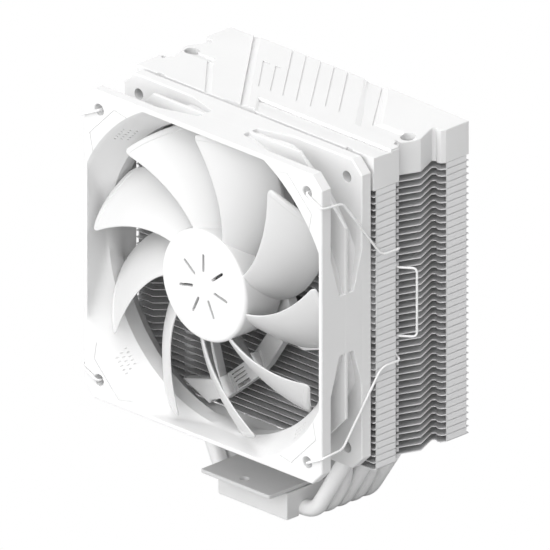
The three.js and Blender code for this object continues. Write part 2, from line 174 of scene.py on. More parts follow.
def combined(mesh, others, operation):
    """The mesh after a boolean with each of the others in turn."""
    base = new_object("work", mesh)
    helpers = []
    for other in others:
        helper = new_object("work", other)
        helpers.append(helper)
        modifier = base.modifiers.new("combine", "BOOLEAN")
        modifier.operation = operation
        modifier.solver = "MANIFOLD"
        modifier.object = helper
    result = evaluated(base)
    for obj in [base, *helpers]:
        bpy.data.objects.remove(obj)
    return result


def circle_angles(count):
    return [2 * math.pi * k / count for k in range(count)]


def ring(radius, sides, centre=(0, 0)):
    x, y = centre
    return [(x + radius * math.cos(a), y + radius * math.sin(a)) for a in circle_angles(sides)]


def rectangle(x0, x1, y0, y1):
    return [(x0, y0), (x1, y0), (x1, y1), (x0, y1)]


def cut_square(half, cut):
    inner = half - cut
    return [
        (-inner, -half), (inner, -half), (half, -inner), (half, inner),
        (inner, half), (-inner, half), (-half, inner), (-half, -inner),
    ]


def between(start, end, part):
    return start + (end - start) * part


def bend(start, corner, end, steps):
    """Points of a smooth bend from start to end, drawn towards the corner."""
    parts = [k / steps for k in range(steps + 1)]
    return [start * (1 - t) ** 2 + corner * 2 * t * (1 - t) + end * t * t for t in parts]


def rounded(outline, radius, steps=4):
    """A closed outline whose corners are rounded; radius is one number or one for each corner."""
    radii = radius if isinstance(radius, (list, tuple)) else [radius] * len(outline)
    result = []
    for i, here in enumerate(outline):
        here = Vector(here)
        before = Vector(outline[i - 1]) - here
        after = Vector(outline[(i + 1) % len(outline)]) - here
        if radii[i] <= 0:
            result.append(tuple(here))
            continue
        opening = before.angle(after) / 2
        reach = min(radii[i] / math.tan(opening), before.length * 0.45, after.length * 0.45)
        start = here + before.normalized() * reach
        end = here + after.normalized() * reach
        result += [tuple(point) for point in bend(start, here, end, steps)]
    return result


def area(outline):
    pairs = zip(outline, outline[1:] + outline[:1])
    return sum(a[0] * b[1] - b[0] * a[1] for a, b in pairs) / 2


def plate(outline, low, high, bevel=0.2, holes=()):
    """A flat plate seen from above, with its rims broken by a small bevel."""
    curve = bpy.data.curves.new("plate", "CURVE")
    curve.dimensions = "2D"
    curve.fill_mode = "BOTH"
    curve.extrude = (high - low) / 2 - bevel
    curve.bevel_depth = bevel
    curve.bevel_resolution = 0
    curve.offset = -bevel
    for number, points in enumerate([outline, *holes]):
        points = list(points)
        is_outer = number == 0
        if (area(points) > 0) != is_outer:
            points.reverse()
        spline = curve.splines.new("POLY")
        spline.points.add(len(points) - 1)
        for point, (x, y) in zip(spline.points, points):
            point.co = (x, y, 0, 1)
        spline.use_cyclic_u = True
    obj = new_object("work", curve)
    mesh = evaluated(obj)
    bpy.data.objects.remove(obj)
    return moved(cleaned(mesh, 0.002), Matrix.Translation((0, 0, (low + high) / 2)))


def front_plate(outline, front, back, bevel=0.2, holes=()):
    """A flat plate seen from the front, between two depths."""
    return moved(plate(outline, -back, -front, bevel, holes), TO_FRONT)


def loft(rings, closed=False):
    """A skin over rings of equal length; its two ends are capped unless it closes on itself."""
    size = len(rings[0])
    vertices = [v for points in rings for v in points]
    faces = []
    count = len(rings)
    for i in range(count if closed else count - 1):
        j = (i + 1) % count
        for k in range(size):
            m = (k + 1) % size
            faces.append((i * size + k, i * size + m, j * size + m, j * size + k))
    if not closed:
        faces.append(tuple(range(size - 1, -1, -1)))
        faces.append(tuple((count - 1) * size + k for k in range(size)))
    return new_mesh(vertices, faces)


def turned(profile, sides=64):
    """A solid turned about the Y axis from (radius, y) pairs that start and end on the axis."""
    angles = circle_angles(sides)
    rings = [[(r * math.cos(a), y, r * math.sin(a)) for a in angles] for r, y in profile]
    return cleaned(loft(rings), 0.0005)


def spun(mesh, places, place):
    """A copy turned about the fan's axis to one of a number of even places."""
    return moved(mesh, Matrix.Rotation(2 * math.pi * place / places, 4, "Y"))


def box_mesh(size, matrix):
    corners = [(x, y, z) for x in (-0.5, 0.5) for y in (-0.5, 0.5) for z in (-0.5, 0.5)]
    faces = [(0, 1, 3, 2), (4, 6, 7, 5), (0, 4, 5, 1), (2, 3, 7, 6), (0, 2, 6, 4), (1, 5, 7, 3)]
    mesh = new_mesh([Vector(c) * Vector(size) for c in corners], faces)
    return moved(mesh, matrix)


def prism(outline, low, high):
    return loft([[(x, y, low) for x, y in outline], [(x, y, high) for x, y in outline]])


def front_prism(outline, front, back):
    return moved(prism(outline, -back, -front), TO_FRONT)


def frustum(foot, top, low, high):
    """A raised panel: foot outline at the height low, top outline at the height high(x)."""
    return loft([[(x, y, low) for x, y in foot], [(x, y, high(x)) for x, y in top]])


def slot_outline(start, end, width):
    """A straight slot with round ends."""
    start = Vector(start)
    end = Vector(end)
    heading = math.atan2(end.y - start.y, end.x - start.x)
    radius = width / 2
    outline = []
    for centre, first in ((end, heading - math.pi / 2), (start, heading + math.pi / 2)):
        for k in range(5):
            angle = first + math.pi * k / 4
            outline.append((centre.x + radius * math.cos(angle), centre.y + radius * math.sin(angle)))
    return outline


def strip_outline(line, width):
    """The outline of a bar of even width along a centre line."""
    line = [Vector(c) for c in line]
    left = []
    right = []
    for i, point in enumerate(line):
        into = (point - line[i - 1]).normalized() if i else (line[1] - point).normalized()
        out = (line[i + 1] - point).normalized() if i < len(line) - 1 else into
        along = (into + out).normalized()
        across = Vector((-along.y, along.x))
        reach = width / 2 / math.sqrt((1 + into.dot(out)) / 2)
        left.append(tuple(point + across * reach))
        right.append(tuple(point - across * reach))
    return right + left[::-1]


def round_path(corners, radius, steps=6):
    """Points of a chain of straight runs with rounded corners."""
    corners = [Vector(c) for c in corners]
    points = [corners[0]]
    for i in range(1, len(corners) - 1):
        before = corners[i - 1] - corners[i]
        after = corners[i + 1] - corners[i]
        reach = min(radius, before.length * 0.48, after.length * 0.48)
        start = corners[i] + before.normalized() * reach
        end = corners[i] + after.normalized() * reach
        points += bend(start, corners[i], end, steps)
    points.append(corners[-1])
    return points


def tube(points, radius, sides):
    """A round bar along a path, with domed ends."""
    points = [Vector(p) for p in points]
    last = len(points) - 1
    ahead = [(points[min(i + 1, last)] - points[max(i - 1, 0)]).normalized() for i in range(last + 1)]
    dome = [(math.sin(a), math.cos(a)) for a in (0, math.pi / 6, math.pi / 3, math.pi * 0.46)]
    side = ahead[0].orthogonal().normalized()
    rings = []
    for i, (point, along) in enumerate(zip(points, ahead)):
        side = (side - along * side.dot(along)).normalized()
        across = along.cross(side)
        spokes = [side * math.cos(a) + across * math.sin(a) for a in circle_angles(sides)]
        steps = [(0, 1)]
        if i == 0:
            steps = [(-reach, width) for reach, width in reversed(dome)]
        elif i == last:
            steps = dome
        for reach, width in steps:
            rings.append([point + along * reach * radius + spoke * radius * width for spoke in spokes])
    return loft(rings)


# --- materials ------------------------------------------------------------------------------------


def coated(name, colour, roughness, grain, bump, speck=0.012, metal=0.0, coat=0.0):
    """A moulded or painted surface: faint tone variation, uneven gloss and a fine grain."""
    material = bpy.data.materials.new(name)
    material.use_nodes = True
    nodes = material.node_tree.nodes
    links = material.node_tree.links
    shader = nodes["Principled BSDF"]
    shader.inputs["Metallic"].default_value = metal
    shader.inputs["Coat Weight"].default_value = coat
    shader.inputs["Coat Roughness"].default_value = 0.25
    place = nodes.new("ShaderNodeTexCoord")
    broad = nodes.new("ShaderNodeTexNoise")
    broad.inputs["Scale"].default_value = 55
    broad.inputs["Detail"].default_value = 3
    fine = nodes.new("ShaderNodeTexNoise")
    fine.inputs["Scale"].default_value = grain
    fine.inputs["Detail"].default_value = 5
    fine.inputs["Roughness"].default_value = 0.6
    for noise in (broad, fine):
        links.new(place.outputs["Object"], noise.inputs["Vector"])
    tone = nodes.new("ShaderNodeValToRGB")
    tone.color_ramp.elements[0].position = 0.3
    tone.color_ramp.elements[1].position = 0.7
    tone.color_ramp.elements[0].color = [*(c * (1 - 2 * speck) for c in colour), 1]
    tone.color_ramp.elements[1].color = [*colour, 1]
    links.new(broad.outputs["Fac"], tone.inputs["Fac"])
    links.new(tone.outputs["Color"], shader.inputs["Base Color"])
    gloss = nodes.new("ShaderNodeMapRange")
    gloss.inputs["From Min"].default_value = 0.3
    gloss.inputs["From Max"].default_value = 0.7
    gloss.inputs["To Min"].default_value = roughness - 0.05
    gloss.inputs["To Max"].default_value = roughness + 0.05
    links.new(fine.outputs["Fac"], gloss.inputs["Value"])
    links.new(gloss.outputs["Result"], shader.inputs["Roughness"])
    relief = nodes.new("ShaderNodeBump")
    relief.inputs["Strength"].default_value = bump
    relief.inputs["Distance"].default_value = 0.00004
    links.new(fine.outputs["Fac"], relief.inputs["Height"])
    links.new(relief.outputs["Normal"], shader.inputs["Normal"])
    return material


def grey(tone):
    return (tone, tone, tone)


WHITE = grey(0.73)
FAN_PLASTIC = coated("fan_plastic_finish", WHITE, 0.42, 2600, 0.10)
# The blades are a darker grey than the hub of the same moulding: painted shade for the shade deep in the
# duct.
BLADE_PAINTED_SHADE = coated("blade_plastic_painted_shade", grey(0.62), 0.36, 3200, 0.06)
COVER_PLASTIC = coated("cover_plastic_finish", WHITE, 0.4, 4200, 0.2)
FIN_COAT = coated("fin_coat_finish", (0.73, 0.73, 0.735), 0.4, 5200, 0.18)
# Darker grey for the fins' flat faces and front edges than for their tabs: painted shade for the shade
# between the fins.
FIN_FLAT_PAINTED_SHADE = coated("fin_flat_painted_shade", (0.56, 0.56, 0.565), 0.45, 5200, 0.18)
PIPE_COAT = coated("pipe_coat_finish", grey(0.86), 0.34, 2400, 0.12, coat=0.15)
BLOCK_COAT = coated("block_coat_finish", grey(0.7), 0.45, 4600, 0.2)
# Darker grey than the block: painted shade for the shadow that the fan and fins cast on the bar.
BAR_PAINTED_SHADE = coated("bar_coat_painted_shade", grey(0.58), 0.45, 4600, 0.2)
WIRE_COAT = coated("wire_coat_finish", grey(0.8), 0.28, 2600, 0.05, coat=0.3)
PAD_RUBBER = coated("pad_rubber_finish", (0.74, 0.74, 0.73), 0.8, 2200, 0.4)
PLATED = coated("plated_steel_finish", (0.6, 0.6, 0.61), 0.3, 3000, 0.1, speck=0.04, metal=1.0)
FERRITE = coated("ferrite_finish", (0.05, 0.05, 0.055), 0.7, 2400, 0.35, speck=0.2)
BRONZE = coated("bronze_finish", (0.55, 0.38, 0.2), 0.4, 3600, 0.25, speck=0.08, metal=1.0)
COPPER = coated("winding_finish", (0.62, 0.27, 0.12), 0.3, 1500, 0.5, speck=0.1, metal=1.0)
LAMINATE = coated("board_finish", (0.05, 0.2, 0.09), 0.4, 2600, 0.15, speck=0.1)


# --- placing --------------------------------------------------------------------------------------


def lies_flat(normal, centre):
    """True for the flat faces of a sheet and for its front edge, the faces that take the fins' darker
    painted shade.
    """
    return abs(normal.z) > 0.9 or normal.y < -0.7


def lies_on_hub(normal, centre):
    return math.hypot(centre.x, centre.z) < HUB + 0.3


def show(name, mesh, material, body, slot, *nodes, crease=25, second=None, picks=lies_flat):
    """Places a finished mesh as a piece that stands for CAD nodes.

    crease is the sharpest angle in degrees that is shaded smooth, and second is the finish of the
    faces that picks chooses.
    """
    chosen = [bool(second) and picks(face.normal, face.center) for face in mesh.polygons]
    mesh.transform(PLACE)
    mesh.name = name
    mesh.materials.clear()
    mesh.materials.append(material)
    if second:
        mesh.materials.append(second)
    for polygon, is_chosen in zip(mesh.polygons, chosen):
        polygon.use_smooth = True
        polygon.material_index = int(is_chosen)
    mesh.set_sharp_from_angle(angle=math.radians(crease))
    obj = new_object(name, mesh)
    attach(obj, body)
    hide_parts(*nodes)
    return obj


# --- fan frame ------------------------------------------------------------------------------------


def duct_radius(depth):
    """The radius of the air path before the frame's sides clip it."""
    if depth < FLARE_DEPTH:
        return between(THROAT, INLET, 1 - max(depth, 0) / FLARE_DEPTH)
    if depth > OUTLET_START:
        flared = (min(depth, FAN_DEPTH) - OUTLET_START) / (FAN_DEPTH - OUTLET_START)
        return between(THROAT, OUTLET, flared)
    return THROAT


def duct_ring(depth, radius, half, grown=0.0):
    """A circle that a square of this half width clips, then grown a little."""
    points = []
    for angle in circle_angles(DUCT_SIDES):
        straight = half / max(abs(math.cos(angle)), abs(math.sin(angle)))
        r = min(radius, straight) + grown
        points.append((r * math.cos(angle), depth, r * math.sin(angle)))
    return points


def duct_skin():
    """The outside of the duct, which swells behind both flanges to back the flares."""
    wall = 1.4
    half = FAN_HALF - 0.7
    depths = (1, 4, 7.5, FLARE_DEPTH, OUTLET_START, 20.5, FAN_DEPTH - 1)
    return loft([duct_ring(depth, duct_radius(depth) + wall, half) for depth in depths])


def duct_cutter():
    """The air path: two flares that the frame's sides clip, with a short straight throat between.

    Its rims are broken by a small bevel at both faces of the frame.
    """
    rim = 0.15
    depths = [-1, 0, rim, 1.5, 3, 4.5, 6, 7.5, 9, 10, FLARE_DEPTH, 14, OUTLET_START]
    depths += [19, 21, 23, FAN_DEPTH - rim, FAN_DEPTH, FAN_DEPTH + 1]
    rings = []
    for depth in depths:
        broken = min(max(rim - depth, depth - (FAN_DEPTH - rim), 0), rim)
        rings.append(duct_ring(depth, duct_radius(depth), FLARE_HALF, broken))
    return loft(rings)


def corner_hole(x, z):
    bevel = 0.35
    wide = HOLE_RADIUS + bevel
    profile = [(-1, wide), (0, wide), (bevel, HOLE_RADIUS), (FAN_DEPTH + 1, HOLE_RADIUS)]
    return loft([[(px, y, pz) for px, pz in ring(r, 32, (x, z))] for y, r in profile])


def motor_arm(line):
    width = 5
    return front_plate(strip_outline(line, width), ARM_FRONT, ARM_BACK, 0.3)


def guide_slots():
    """Cutters for the three thin slots and the one wide slot across the cable guide."""
    centre = Vector((-1.0, -41.9))
    along = Vector((0.775, 0.632))
    across = Vector((0.632, -0.775))
    reach = 3.9
    cutters = []
    for shift, width, depth in ((-2.7, 0.5, 1.0), (-1.3, 0.5, 1.0), (0.1, 0.5, 1.0), (2.1, 1.4, 3.2)):
        outline = [
            tuple(centre + along * sx * reach + across * (shift + sz * width / 2))
            for sx, sz in ((-1, -1), (1, -1), (1, 1), (-1, 1))
        ]
        cutters.append(front_prism(outline, ARM_FRONT - 2, ARM_FRONT + depth))
    return joined(cutters)


def cable_guide():
    """The channel that leads the fan's wires out, with its slots and two raised blocks."""
    line = [(-12, -50.5), (-3, -43), (4.5, -36.6), (9, -31.5), (16, -21), (20, -8), (17, 1)]
    width = 7.5
    guide = front_plate(strip_outline(line, width), ARM_FRONT - 0.2, ARM_BACK, 0.35)
    guide = combined(guide, [guide_slots()], "DIFFERENCE")
    left_block = [(-7.9, -51.9), (-3.1, -47.9), (-6.9, -41.9), (-11.4, -44.8)]
    retainer = [(9.9, -34.6), (11.4, -33.2), (8.7, -28.1), (4.1, -30.6)]
    front = ARM_FRONT - 1.2
    back = ARM_BACK - 0.5
    raised = [front_plate(outline, front, back, 0.25) for outline in (left_block, retainer)]
    return combined(guide, raised, "UNION")


def motor_mount():
    """The motor base, its bearing tube, the four arms that hold it and the cable guide."""
    base = turned([
        (0, ARM_BACK), (20, ARM_BACK), (20.5, ARM_BACK - 0.5), (20.5, 21.6), (20.1, 21.2), (5.6, 21.2),
        (5.6, 4.6), (3.7, 4.6), (3.7, 22.6), (0, 22.6),
    ], 72)
    line = [(-15, -6), (-19.5, -30), (-9.8, -59.2)]
    arms = []
    for _ in range(3):
        line = [(-z, x) for x, z in line]
        arms.append(motor_arm(line))
    # The fourth arm is shorter, and ends in a foot that also carries the cable guide.
    arms.append(motor_arm([(-15, -6), (-19.5, -30), (-14, -48)]))
    foot = [(-30.5, -51.1), (-17, -56.8), (-15.9, -55.1), (-9.9, -52.7), (-14.6, -46.6)]
    arms.append(front_plate(foot, ARM_FRONT - 0.4, ARM_BACK - 0.2, 0.3))
    return combined(base, [*arms, cable_guide()], "UNION")


def corner_lines():
    """Cutters for the thin panel lines on the front corners."""
    line = [(35.3, 55.4), (42.5, 57.0), (54.8, 44.7), (53.6, 38.2)]
    width = 0.3
    depth = 0.25
    cutters = []
    for corner in range(4):
        for start, end in zip(line, line[1:]):
            cutters.append(spun(front_prism(slot_outline(start, end, width), -1, depth), 4, corner))
    return cutters


def flare_dashes():
    """Cutters for the short dashes in the inlet flare, in a small block at each corner."""
    size = (0.7, 1.0, 0.4)
    lean = Matrix.Rotation(math.radians(37), 4, "Z")
    cutters = []
    for corner in range(4):
        for column in range(3):
            for row in range(5):
                radius = 60.9 + 1.3 * column
                angle = math.radians(45 + 90 * corner + (row - 2) * 1.5 + (column - 1) * 0.7)
                depth = FLARE_DEPTH * (1 - (radius - THROAT) / (INLET - THROAT))
                place = Matrix.Translation((radius * math.cos(angle), depth, radius * math.sin(angle)))
                cutters.append(box_mesh(size, place @ Matrix.Rotation(-angle, 4, "Y") @ lean))
    return joined(cutters)


def side_blocks():
    """The four bow-tie blocks that join the flanges in the middle of each side."""
    narrow, wide, waist = 11.5, 28, 3.5
    lip = FLANGE - 0.6
    web = FAN_DEPTH / 2
    bow_tie = [
        (-wide, lip), (wide, lip), (narrow, web - waist), (narrow, web + waist),
        (wide, FAN_DEPTH - lip), (-wide, FAN_DEPTH - lip), (-narrow, web + waist), (-narrow, web - waist),
    ]
    outline = rounded(bow_tie, [0, 0, 0.5, 0.5, 0, 0, 0.5, 0.5])
    block = plate(outline, FAN_HALF - 12, FAN_HALF - 0.02, 0.12)
    return [spun(block, 4, i) for i in range(4)]


def fan_frame():
    outline = cut_square(FAN_HALF, CHAMFER)
    web = FAN_DEPTH / 2
    front = front_plate(outline, 0, FLANGE, 0.35)
    rear = front_plate(outline, FAN_DEPTH - FLANGE, FAN_DEPTH, 0.35)
    middle_web = front_plate(cut_square(FAN_HALF, 23), web - 0.65, web + 0.65, 0.15)
    body = combined(front, [rear, middle_web, duct_skin(), *side_blocks()], "UNION")
    sides = (-HOLE_OFFSET, HOLE_OFFSET)
    holes = joined([corner_hole(x, z) for x in sides for z in sides])
    body = combined(body, [duct_cutter(), holes, flare_dashes()], "DIFFERENCE")
    for cutter in corner_lines():
        body = combined(body, [cutter], "DIFFERENCE")
    return combined(body, [motor_mount()], "UNION")


# --- impeller, wires and pads ---------------------------------------------------------------------


def blade_section(out, inward):
    """One closed section of a blade; out runs from 0 at the root to 1 at the tip."""
    radius = TIP - inward
    lead = math.radians(137 - 31 * (1 - out) + 1.5 * math.sin(math.pi * out))
    sweep = math.radians(between(38, 24, out))
    front = 1.3
    rear = between(18.2, 16, out)
    bow = -1.8
    tip_corner = 3.2
    tip_strip = 2.0
    chord_steps = 18
    chord = math.hypot(radius * sweep, rear - front)
    trim = 0.0
    if inward < tip_corner:
        trim = (tip_corner - math.sqrt(max(tip_corner ** 2 - (tip_corner - inward) ** 2, 0))) / chord
    thick = between(1.9, 1.25, out)
    if inward < tip_strip:
        thick += 0.5
    thick *= min(1.0, 0.35 + inward / 0.45)
    front_side = []
    back_side = []
    for j in range(chord_steps + 1):
        local = 0.5 - 0.5 * math.cos(math.pi * j / chord_steps)
        s = trim + (1 - 2 * trim) * local
        around = radius * (lead - sweep * s)
        depth = front + (rear - front) * s + bow * math.sin(math.pi * s)
        d_around = -radius * sweep
        d_depth = (rear - front) + bow * math.pi * math.cos(math.pi * s)
        length = math.hypot(d_around, d_depth)
        half = thick / 2 * (4 * local * (1 - local) + 1e-4) ** 0.3
        normal = (d_depth / length, -d_around / length)
        for side, points in ((-1, front_side), (1, back_side)):
            angle = (around + side * half * normal[0]) / radius
            y = depth + side * half * normal[1]
            points.append((radius * math.cos(angle), y, radius * math.sin(angle)))
    return front_side + back_side[-2:0:-1]


def blade():
    """One blade: a thin cambered sheet with round edges, round tip corners and a raised tip strip."""
    span = TIP - BLADE_ROOT
    inner_steps = 13
    distances = [span * (1 - k / inner_steps) for k in range(inner_steps)]
    distances += [2.15, 1.85, 1.4, 0.9, 0.5, 0.22, 0.05, 0.0]
    distances = sorted(set(round(d, 3) for d in distances), reverse=True)
    return loft([blade_section((span - inward) / span, inward) for inward in distances])


def impeller():
    """The hub, a cup with a slotted cap, and its blades."""
    skirt_end = 18.5
    inside = 19.7
    cap_front = 0.25
    cap_back = 2.4
    quarter = [k * math.pi / 12 for k in range(7)]
    centre = (HUB - HUB_ROUNDING, cap_front + HUB_ROUNDING)
    round_edge = [
        (centre[0] + HUB_ROUNDING * math.sin(a), centre[1] - HUB_ROUNDING * math.cos(a)) for a in quarter
    ]
    hub = turned([
        (0, cap_front), *round_edge, (HUB, skirt_end - 0.2), (HUB - 0.3, skirt_end), (inside, skirt_end),
        (inside, cap_back), (3.2, cap_back), (3.2, 4.2), (1.8, 4.2), (1.8, 1.9), (0, 1.9),
    ], 144)
    slot = front_prism(slot_outline((0, 5.9), (0, 11.9), 1.1), -1, 3.2)
    hub = combined(hub, [joined([spun(slot, HUB_SLOTS, i) for i in range(HUB_SLOTS)])], "DIFFERENCE")
    one = blade()
    blades = joined([spun(one, BLADES, i) for i in range(BLADES)])
    return combined(hub, [blades], "UNION")


def wire_clip(side):
    """One wire: hooked into two of the fan's holes, past its side and snapped behind the fins' tabs."""
    beside = FAN_HALF + WIRE + WIRE_GAP
    before = -WIRE - WIRE_GAP
    upper_half = [
        (HOLE_OFFSET, 3, 52.5), (HOLE_OFFSET, before, 52.5), (beside, before, 48.5), (beside, 9.7, 47.7),
        (beside, 28.5, 23), (beside + 0.2, 31, 21.7), (beside + 0.2, 38.7, 21.7), (57.9, 38.9, 20.5),
        (57.9, 38.9, 13.3), (64.2, 43.8, 13.3),
    ]
    corners = upper_half + [(x, y, -z) for x, y, z in reversed(upper_half)]
    points = round_path([(side * x, y, z) for x, y, z in corners], 1.9)
    return tube(points, WIRE, 16)


def corner_pad(x, z):
    centre = (x * 51.5, z * 51.5)
    half = 5.4
    square = rectangle(centre[0] - half, centre[0] + half, centre[1] - half, centre[1] + half)
    hole = ring(2.7, 24, (x * HOLE_OFFSET, z * HOLE_OFFSET))
    return front_plate(rounded(square, 1.5), FAN_DEPTH + 0.3, FAN_DEPTH + 0.9, 0.15, [hole])


# --- fins and pipes -------------------------------------------------------------------------------


def tower_outline(front, tab):
    """The plan outline that fins and cover share.

    front holds the right half's points before its front corner, and tab is where the front tab ends.
    """
    right = front + [
        (FIN_HALF, FIN_FRONT), (FIN_HALF, tab), (57.0, tab + 0.3), (55.3, 41.0), (59.3, 50.7),
        (55.3, 60.2), (56.3, 61.3), (57.6, 60.6), (59.1, 60.9), (FIN_HALF, 62.6), (FIN_HALF, FIN_REAR),
    ]
    return right + [(-x, y) for x, y in reversed(right)]


def fin_sheet():
    holes = [ring(PIPE + 0.12, 20, (sx * x, y)) for x, y in PIPE_LEGS for sx in (-1, 1)]
    recess = [(47.7, FIN_FRONT + 3.8), (51.5, FIN_FRONT)]
    radii = [0, 0, 0.3, 0.3, 0.3, 0.6, 0.5, 0.5, 0.4, 0.4, 0.4, 0.3, 0.3]
    outline = rounded(tower_outline(recess, 37.6), radii + radii[::-1], 2)
    return plate(outline, -SHEET / 2, SHEET / 2, 0.05, holes)


def side_tab(side, start, end, level):
    """A fin's folded edge, which rises from its sheet to just below the next one."""
    thick = 0.4
    fold = FIN_PITCH - SHEET / 2 - 0.03
    centre = (side * (FIN_HALF - thick / 2), (start + end) / 2, level + fold / 2)
    return box_mesh((thick, end - start, fold), Matrix.Translation(centre))


def collar(x, y, level):
    """The short neck round a pipe, drawn up from the sheet."""
    bore = PIPE + 0.12
    steps = [(bore, 0), (PIPE + 0.9, 0), (PIPE + 0.45, 0.5), (PIPE + 0.38, 1.5), (bore, 1.5)]
    rings = [[(px, py, level + z) for px, py in ring(r, 20, (x, y))] for r, z in steps]
    return loft(rings, closed=True)


def fin_pair():
    """Two neighbouring fins with their folded tabs, small hooks and the collars round the pipes."""
    sheet = fin_sheet()
    parts = []
    for level in (-FIN_PITCH, -2 * FIN_PITCH):
        parts.append(moved(sheet, Matrix.Translation((0, 0, level))))
        for side in (-1, 1):
            parts.append(side_tab(side, FIN_FRONT + 1.3, 37.3, level))
            parts.append(side_tab(side, 63.0, 73.0, level))
            hook = Matrix.Translation((side * 55.9, 42.2, level - 0.8))
            parts.append(box_mesh((0.4, 0.9, 1.3), hook @ Matrix.Rotation(-side * 0.35, 4, "Z")))
            for x, y in PIPE_LEGS:
                parts.append(collar(side * x, y, level))
    return joined(parts)


def heat_pipe(position):
    """A U-shaped pipe: two upright legs, two slanted runs and a flat run through the block."""
    x, y = PIPE_LEGS[position]
    base_y = BASE_MIDDLE + (position - 2) * PIPE_SPACING
    low = GROUND + PIPE_AXIS
    bend_height = low + (x - PIPE_KNEE) * math.tan(PIPE_SLOPE)
    end = PIPE_TOP - PIPE / 2
    corners = [
        (-x, y, end), (-x, y, bend_height), (-PIPE_KNEE, base_y, low),
        (PIPE_KNEE, base_y, low), (x, y, bend_height), (x, y, end),
    ]
    mesh = tube(round_path(corners, 5.5, 8), PIPE, 32)
    for vertex in mesh.vertices:
        vertex.co.z = max(vertex.co.z, GROUND)
    return mesh


# --- cover ----------------------------------------------------------------------------------------


def wedge(start, end, width, foot, top):
    """A V groove cutter along a plan line: upright on the line, and rising over width to its right."""
    above = top + 2
    reach = width * (above - foot) / (top - foot)
    return loft([[(x, y, foot), (x, y, above), (x + reach, y, above)] for x, y in (start, end)])


def back_wedge(x0, x1, y0, y1, low):
    """A V groove cutter along X: it falls from the cover's top at y0 and ends upright at y1."""
    above = COVER_TOP + 2
    return loft([[(x, y0, COVER_TOP), (x, y1, low), (x, y1, above), (x, y0, above)] for x in (x0, x1)])


def cover_relief(cover):
    """The raised panels, and the bands that run round them."""
    rear = FIN_REAR - 0.25
    front = FIN_FRONT + 0.25
    edge = FIN_HALF - 0.25
    root = COVER_TOP - 0.9
    channel = [
        (7.5, rear + 2), (34.5, 42.4), (62, 42.4), (62, 49.5), (39.5, 49.5), (18, rear + 2),
    ]
    cover = combined(cover, [prism(channel, COVER_TOP - 0.5, COVER_TOP + 2)], "DIFFERENCE")
    cover = combined(cover, [back_wedge(-12, 62, 31, 35.2, GROOVE_FOOT + 0.1)], "DIFFERENCE")
    panel_foot = [
        (-48.4, rear), (-7.9, front), (2.8, front), (-6.0, 34.5), (edge, 34.5), (edge, 39.1),
        (56.8, 39.5), (55.6, 41.6), (56.6, 44.4), (36.2, 44.4), (9.9, rear),
    ]
    panel_top = [
        (-48.4, rear), (-7.9, front), (-0.2, front), (-7.6, 35.4), (edge, 35.4), (edge, 39.1),
        (56.8, 39.5), (55.6, 41.6), (55.8, 42.3), (34.4, 42.3), (7.3, rear),
    ]
    cover = combined(cover, [frustum(panel_foot, panel_top, root, lambda x: PANEL_TOP)], "UNION")
    hip = [
        (58.7, 49.9), (59.0, 50.7), (55.2, 60.2), (56.3, 61.3), (57.6, 60.6), (58.9, 61.0), (edge, 62.8),
    ]
    plateau_foot = [(16.2, rear), (37.7, 47.7), (57.8, 47.7), *hip, (edge, rear)]
    plateau_top = [(20.0, rear), (40.8, 50.0), (58.7, 50.0), *hip, (edge, rear)]
    inner_edge = 20
    fall = 0.65

    def plateau_level(x):
        return PANEL_TOP + 0.1 - fall * (x - inner_edge) / (edge - inner_edge)

    cover = combined(cover, [frustum(plateau_foot, plateau_top, root, plateau_level)], "UNION")
    bands = [
        wedge((-49.0, rear + 0.7), (-6.9, front - 0.8), 3.8, GROOVE_FOOT, PANEL_TOP),
        wedge((-44.1, 46.3), (-24.6, front - 1), 3.3, GROOVE_FOOT, COVER_TOP),
        wedge((15.2, rear + 1.2), (37.7, 47.7), 3.4, GROOVE_FOOT - 0.3, PANEL_TOP),
        back_wedge(-53, -42.6, 46.3, 49.5, GROOVE_FOOT),
    ]
    for cutter in bands:
        cover = combined(cover, [cutter], "DIFFERENCE")
    return cover


def cover_grooves():
    """Cutters for the slanting lines on the raised panel: five straight ones and two hooked ones."""
    deep = PANEL_TOP - 0.5
    lines = [
        ((-29.2, 75), (-2.2, 42.7)), ((-22.4, 75), (4.7, 42.6)), ((-15, 75), (11.7, 42.7)),
        ((-8.3, 75), (15.5, 46.5)), ((-1.4, 75), (22.4, 46.5)),
    ]
    hooked_lines = [
        ((-25.7, 59.4), (-28.8, 59.5), (-14.1, 42.4)), ((-19.8, 59.5), (-22.3, 59.3), (-8.1, 42.3)),
    ]
    straight = [prism(slot_outline(start, end, 0.6), deep, CUT_TOP) for start, end in lines]
    hooked = [prism(strip_outline(line, 0.55), deep, CUT_TOP) for line in hooked_lines]
    return [joined(straight), joined(hooked)]


def cover_notches():
    """Cutters for the small dents in the top and the notches in the front lip."""
    front = FIN_FRONT
    places = [(55.4, 42.6), (-57.7, 57.7), (-57.9, 38.1)]
    dents = [prism(ring(0.9, 16, place), COVER_TOP - 1.2, CUT_TOP) for place in places]
    corner_notch = [(45.2, front - 1), (46.2, front + 0.9), (48.6, front + 0.9), (50.2, front - 1)]
    notches = []
    for side in (-1, 1):
        notches.append(prism([(side * x, y) for x, y in corner_notch], COVER_TOP - 2.5, CUT_TOP))
    wide_notch = [(-19.6, front - 1), (-13.6, front + 0.8), (-1.2, front + 0.8), (2.6, front - 1)]
    notches.append(prism(wide_notch, COVER_TOP - 3, CUT_TOP))
    return [joined(dents), joined(notches)]


